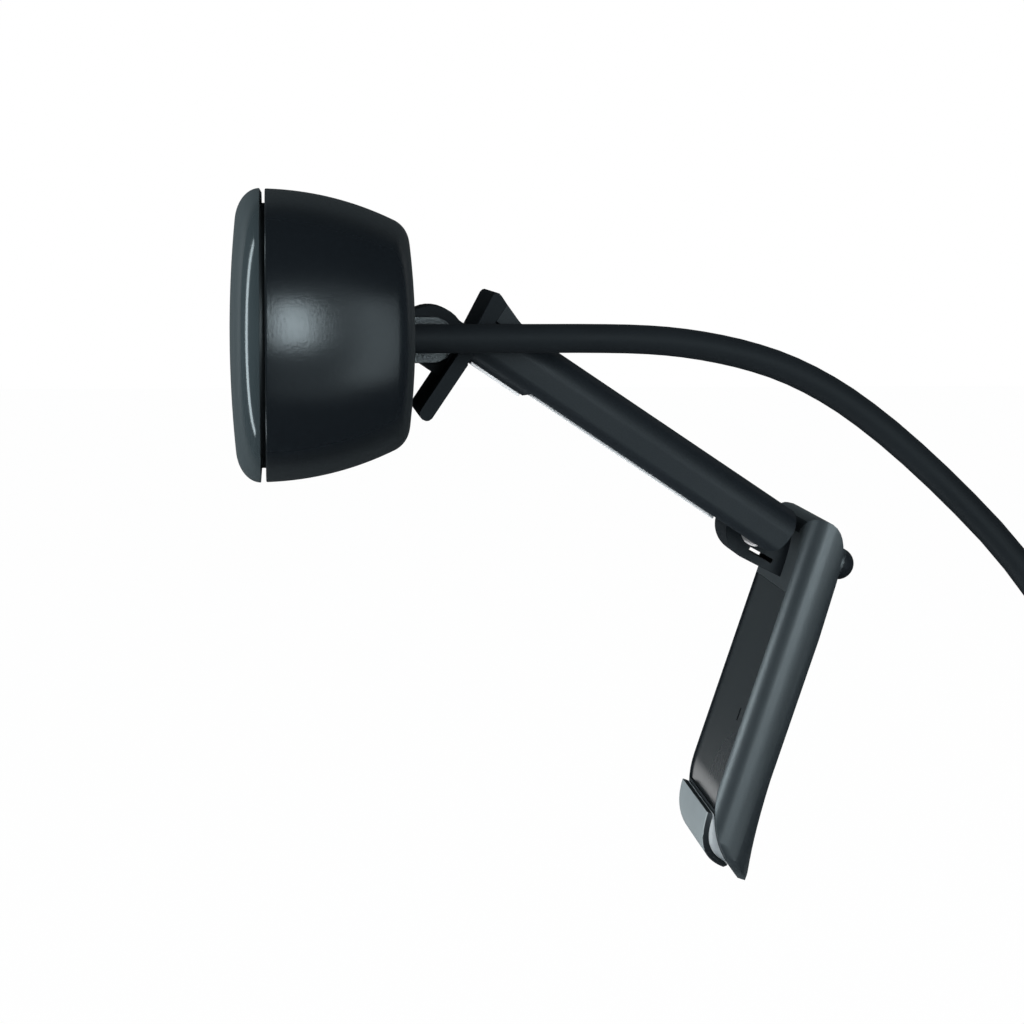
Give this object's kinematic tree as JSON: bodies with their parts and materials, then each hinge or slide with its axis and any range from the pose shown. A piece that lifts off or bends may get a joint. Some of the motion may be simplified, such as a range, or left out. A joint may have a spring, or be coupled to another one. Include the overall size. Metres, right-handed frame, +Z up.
{
  "type": "webcam",
  "caption": "Black webcam with a rounded head that tilts on a folding screen clip, and a USB-A lead.",
  "frame": {"origin": "Middle of the face of the clip arm's rear pad, the face that rests on the top edge of a screen.", "axes": "+Z up with the camera level, -X the way the camera looks, +Y to the side, so that X, Y and Z are right-handed."},
  "size_m": [0.1093, 0.0961, 0.1514],
  "materials": {
    "case_plastic": "satin",
    "clip_plastic": "satin",
    "face_gloss": "gloss",
    "panel_gloss": "gloss",
    "pad_grey": "matte",
    "black_rubber": "matte",
    "cord_jacket": "satin",
    "trim_metal": "polished",
    "screw_steel": "brushed",
    "clear_window": "gloss",
    "lens_glass": "gloss",
    "board_green": "satin",
    "board_tan": "satin",
    "chip_black": "satin",
    "socket_cream": "satin",
    "wire_red": "satin",
    "contact_gold": "polished"
  },
  "bodies": {
    "clip": {"front_lip": "clip_plastic", "tilt_pin": "screw_steel", "tilt_washers": "screw_steel", "arm_shell": "clip_plastic", "arm_base": "clip_plastic", "arm_screws": "screw_steel", "front_pad": "pad_grey", "rear_pad": "pad_grey", "fold_pin": "screw_steel", "fold_washers": "screw_steel"},
    "head": {"face_plate": "face_gloss", "lens_ring": "trim_metal", "lens_window": "clear_window", "lens_barrel": "case_plastic", "lens_front": "lens_glass", "lens_rear": "lens_glass", "lens_holder": "case_plastic", "ir_filter": "lens_glass", "image_sensor": "chip_black", "main_board": "board_green", "bridge_chip": "chip_black", "board_parts": "board_tan", "board_screws": "screw_steel", "lead_socket": "socket_cream", "lead_plug": "socket_cream", "signal_wires": "wire_red", "cord_anchor": "screw_steel", "cord_grommet": "black_rubber", "mic_boot": "black_rubber", "mic_capsule": "trim_metal", "status_led": "clear_window", "light_pipe": "clear_window", "rear_housing": "case_plastic", "tilt_bracket": "case_plastic", "bracket_screws": "screw_steel", "cord": "cord_jacket", "cord_coil": "cord_jacket", "cord_tail": "cord_jacket", "cord_tie": "black_rubber", "plug_body": "cord_jacket", "plug_shell": "trim_metal", "plug_tongue": "socket_cream", "plug_contacts": "contact_gold"},
    "leg": {"leg_shell": "clip_plastic", "leg_panel": "panel_gloss", "foot_pad": "black_rubber"}
  },
  "joints": [
    {"name": "head_tilt", "type": "hinge", "parent": "clip", "child": "head", "pos_m": [-0.02104, 0, 0.01316], "axis": [0, 1, 0], "range_deg": [-6, 25]},
    {"name": "leg_fold", "type": "hinge", "parent": "clip", "child": "leg", "pos_m": [0.0159, 0, -0.0088], "axis": [0, 1, 0], "range_deg": [0, 102]}
  ]
}
